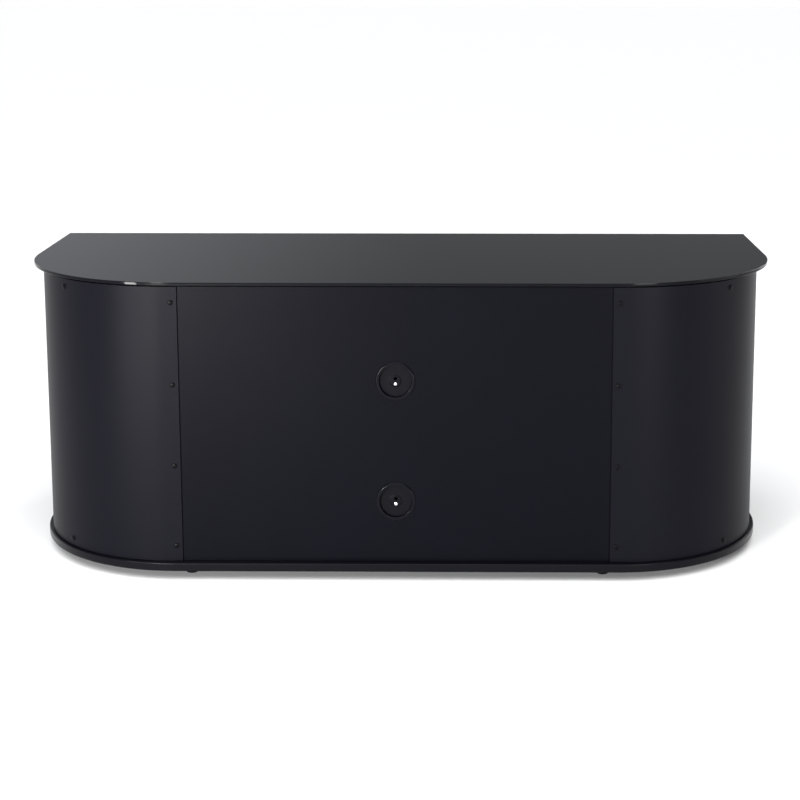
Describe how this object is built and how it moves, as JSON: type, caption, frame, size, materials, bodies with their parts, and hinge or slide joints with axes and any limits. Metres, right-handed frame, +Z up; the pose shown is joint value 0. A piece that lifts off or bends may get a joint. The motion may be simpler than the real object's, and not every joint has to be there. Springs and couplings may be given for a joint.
{
  "type": "media cabinet",
  "caption": "Low free-standing media cabinet with a dark glass top, curved end shells, a drop-down glass flap, two hinged end doors, shelves, cable ports in the back and levelling feet.",
  "frame": {"origin": "on the floor, midway across the width and midway between the front edge of the glass top and the rear edge of the base board", "axes": "+X along the width, towards the right-hand door as seen by someone who faces the doors; -Y towards that person, +Y towards the back panel with the cable ports; +Z up"},
  "size_m": [1.2, 0.496, 0.464],
  "materials": {
    "black_glass": "black back-painted glass, polished",
    "clear_pad": "soft dark silicone",
    "base_black": "satin black lacquer on board",
    "black_board": "satin black foil on board",
    "black_sheet": "smooth satin black powder coat",
    "back_board": "satin black, very fine grain",
    "door_black": "satin black lacquer",
    "steel": "bright zinc plated",
    "screw_black": "black plated",
    "screw_chrome": "bright plated",
    "dowel_wood": "plain beech",
    "black_plastic": "fine matt black moulding",
    "smoked_glass": "smoked grey, polished edges",
    "rail_metal": "black anodised, satin",
    "gasket_rubber": "soft black rubber"
  },
  "bodies": {
    "carcass": {"top_glass": "black_glass", "glass_pads": "clear_pad", "base_board": "base_black", "left_upright": "black_board", "right_upright": "black_board", "centre_floor": "black_board", "centre_roof": "black_board", "left_end_floor": "black_board", "left_end_roof": "black_board", "right_end_floor": "black_board", "right_end_roof": "black_board", "left_front_post": "black_board", "right_front_post": "black_board", "left_rear_post": "black_board", "right_rear_post": "black_board", "centre_shelf": "black_board", "left_end_shelf": "black_board", "right_end_shelf": "black_board", "left_shell": "black_sheet", "right_shell": "black_sheet", "back_panel": "back_board", "shelf_pins": "steel", "base_screws": "steel", "foot_inserts": "steel", "shell_screws": "screw_black", "upper_port_screw": "screw_chrome", "lower_port_screw": "screw_chrome", "cross_dowels": "dowel_wood", "upper_port_ring": "black_plastic", "lower_port_ring": "black_plastic", "upper_port_cap": "black_plastic", "lower_port_cap": "black_plastic", "flap_magnet": "black_plastic", "door_magnets": "black_plastic", "flap_bushes": "black_plastic", "door_bushes": "black_plastic"},
    "flap": {"flap_glass": "smoked_glass", "flap_rail": "rail_metal", "flap_gasket": "gasket_rubber", "flap_pins": "steel", "flap_handle": "rail_metal", "flap_strike": "steel"},
    "left_door_leaf": {"left_door": "door_black", "left_door_pins": "steel", "left_door_knob": "rail_metal", "left_door_strike": "steel"},
    "right_door_leaf": {"right_door": "door_black", "right_door_pins": "steel", "right_door_knob": "rail_metal", "right_door_strike": "steel"},
    "left_rear_foot_unit": {"left_rear_foot": "black_plastic"},
    "right_rear_foot_unit": {"right_rear_foot": "black_plastic"},
    "left_end_foot_unit": {"left_end_foot": "black_plastic"},
    "right_end_foot_unit": {"right_end_foot": "black_plastic"},
    "left_front_foot_unit": {"left_front_foot": "black_plastic"},
    "right_front_foot_unit": {"right_front_foot": "black_plastic"}
  },
  "joints": [
    {"name": "flap_hinge", "type": "hinge", "parent": "carcass", "child": "flap", "pos_m": [0, -0.2215, 0.061], "axis": [1, 0, 0], "range_deg": [0, 90]},
    {"name": "left_door_hinge", "type": "hinge", "parent": "carcass", "child": "left_door_leaf", "pos_m": [-0.565, -0.219, 0.24], "axis": [0, 0, -1], "range_deg": [0, 90]},
    {"name": "right_door_hinge", "type": "hinge", "parent": "carcass", "child": "right_door_leaf", "pos_m": [0.565, -0.219, 0.24], "axis": [0, 0, 1], "range_deg": [0, 90]},
    {"name": "left_rear_foot_turn", "type": "hinge", "parent": "carcass", "child": "left_rear_foot_unit", "pos_m": [-0.32, 0.208, 0.02], "axis": [0, 0, 1], "continuous": true},
    {"name": "right_rear_foot_turn", "type": "hinge", "parent": "carcass", "child": "right_rear_foot_unit", "pos_m": [0.32, 0.208, 0.02], "axis": [0, 0, 1], "continuous": true},
    {"name": "left_end_foot_turn", "type": "hinge", "parent": "carcass", "child": "left_end_foot_unit", "pos_m": [-0.54, -0.108, 0.02], "axis": [0, 0, 1], "continuous": true},
    {"name": "right_end_foot_turn", "type": "hinge", "parent": "carcass", "child": "right_end_foot_unit", "pos_m": [0.54, -0.108, 0.02], "axis": [0, 0, 1], "continuous": true},
    {"name": "left_front_foot_turn", "type": "hinge", "parent": "carcass", "child": "left_front_foot_unit", "pos_m": [-0.32, -0.191, 0.02], "axis": [0, 0, 1], "continuous": true},
    {"name": "right_front_foot_turn", "type": "hinge", "parent": "carcass", "child": "right_front_foot_unit", "pos_m": [0.32, -0.191, 0.02], "axis": [0, 0, 1], "continuous": true}
  ]
}
